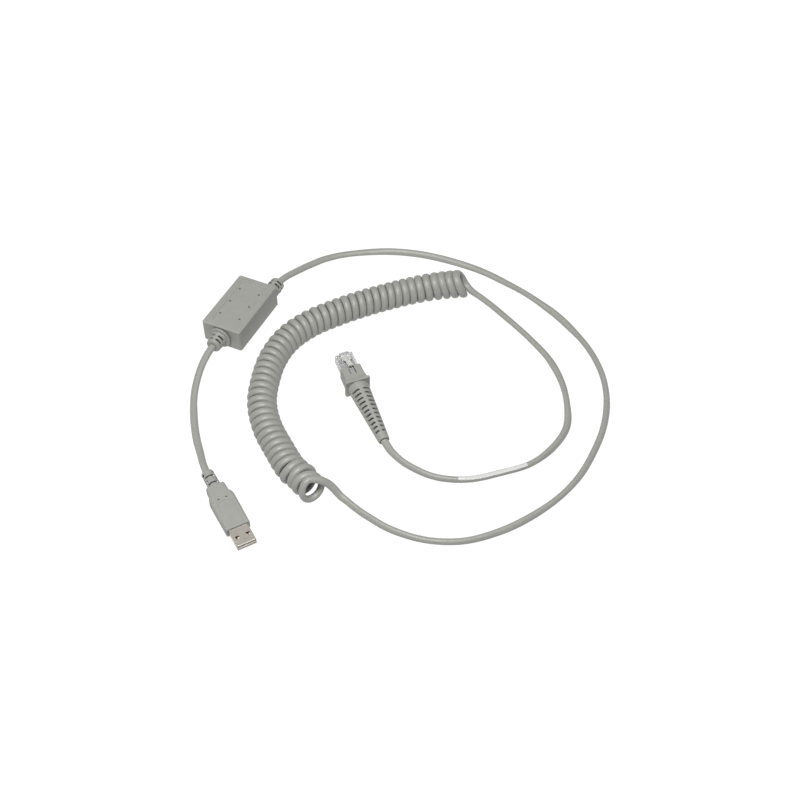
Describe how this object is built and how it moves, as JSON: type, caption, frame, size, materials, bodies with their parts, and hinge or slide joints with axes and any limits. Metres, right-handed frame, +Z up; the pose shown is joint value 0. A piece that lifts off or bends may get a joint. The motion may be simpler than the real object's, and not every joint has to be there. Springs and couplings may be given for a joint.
{
  "type": "barcode scanner interface cable",
  "caption": "Interface cable for a handheld barcode scanner: USB plug, inline converter module, curly cord and a clear modular plug with a sprung latch.",
  "frame": {"origin": "on the surface the cable lies on, under the middle of the inline module", "axes": "+X along the module from its USB lead to its scanner lead, +Z up, +Y to the module's left seen along +X"},
  "size_m": [0.2856, 0.2731, 0.0192],
  "materials": {
    "cord_pvc": "satin grey PVC jacket",
    "moulded_pvc": "satin grey moulded PVC",
    "clear_polycarbonate": "clear polycarbonate",
    "nickel_plate": "nickel-plated, satin",
    "gold_plate": "gold-plated, smooth",
    "insulator_pbt": "off-white PBT",
    "inner_mould_pe": "translucent polyethylene pre-mould",
    "inner_case_abs": "black ABS",
    "board_laminate": "green solder mask",
    "chip_epoxy": "black epoxy",
    "crystal_can": "drawn steel can",
    "capacitor_ceramic": "ceramic chip",
    "header_nylon": "natural nylon",
    "label_paper": "white film label, gloss",
    "insulation_violet": "wire insulation",
    "insulation_white": "wire insulation",
    "insulation_grey": "wire insulation",
    "insulation_brown": "wire insulation",
    "insulation_yellow": "wire insulation",
    "insulation_green": "wire insulation",
    "insulation_red": "wire insulation",
    "insulation_black": "wire insulation",
    "insulation_orange": "wire insulation",
    "insulation_blue": "wire insulation"
  },
  "bodies": {
    "cable": {"capacitor_1": "capacitor_ceramic", "capacitor_2": "capacitor_ceramic", "capacitor_3": "capacitor_ceramic", "capacitor_4": "capacitor_ceramic", "circuit_board": "board_laminate", "cord_label": "label_paper", "crystal": "crystal_can", "curly_cord": "cord_pvc", "inner_shell_lower": "inner_case_abs", "inner_shell_upper": "inner_case_abs", "interface_chip": "chip_epoxy", "modular_contact_1": "gold_plate", "modular_contact_10": "gold_plate", "modular_contact_2": "gold_plate", "modular_contact_3": "gold_plate", "modular_contact_4": "gold_plate", "modular_contact_5": "gold_plate", "modular_contact_6": "gold_plate", "modular_contact_7": "gold_plate", "modular_contact_8": "gold_plate", "modular_contact_9": "gold_plate", "modular_plug_body": "clear_polycarbonate", "modular_wire_1": "insulation_violet", "modular_wire_10": "insulation_blue", "modular_wire_2": "insulation_white", "modular_wire_3": "insulation_grey", "modular_wire_4": "insulation_brown", "modular_wire_5": "insulation_yellow", "modular_wire_6": "insulation_green", "modular_wire_7": "insulation_red", "modular_wire_8": "insulation_black", "modular_wire_9": "insulation_orange", "module_housing": "moulded_pvc", "plug_boot": "moulded_pvc", "scanner_header": "header_nylon", "scanner_lead": "cord_pvc", "scanner_strain_relief": "moulded_pvc", "tail_lead": "cord_pvc", "usb_contact_1": "gold_plate", "usb_contact_2": "gold_plate", "usb_contact_3": "gold_plate", "usb_contact_4": "gold_plate", "usb_header": "header_nylon", "usb_inner_mould": "inner_mould_pe", "usb_insulator": "insulator_pbt", "usb_lead": "cord_pvc", "usb_overmould": "moulded_pvc", "usb_shell": "nickel_plate", "usb_strain_relief": "moulded_pvc", "voltage_regulator": "chip_epoxy"},
    "latch": {"latch_lever": "clear_polycarbonate"}
  },
  "joints": [
    {"name": "latch_press", "type": "hinge", "parent": "cable", "child": "latch", "pos_m": [-0.01123, -0.0848, 0.01337], "axis": [0.7302, -0.6833, 0], "range_deg": [0, 11], "stiffness_Nm_per_rad": 0.02}
  ]
}
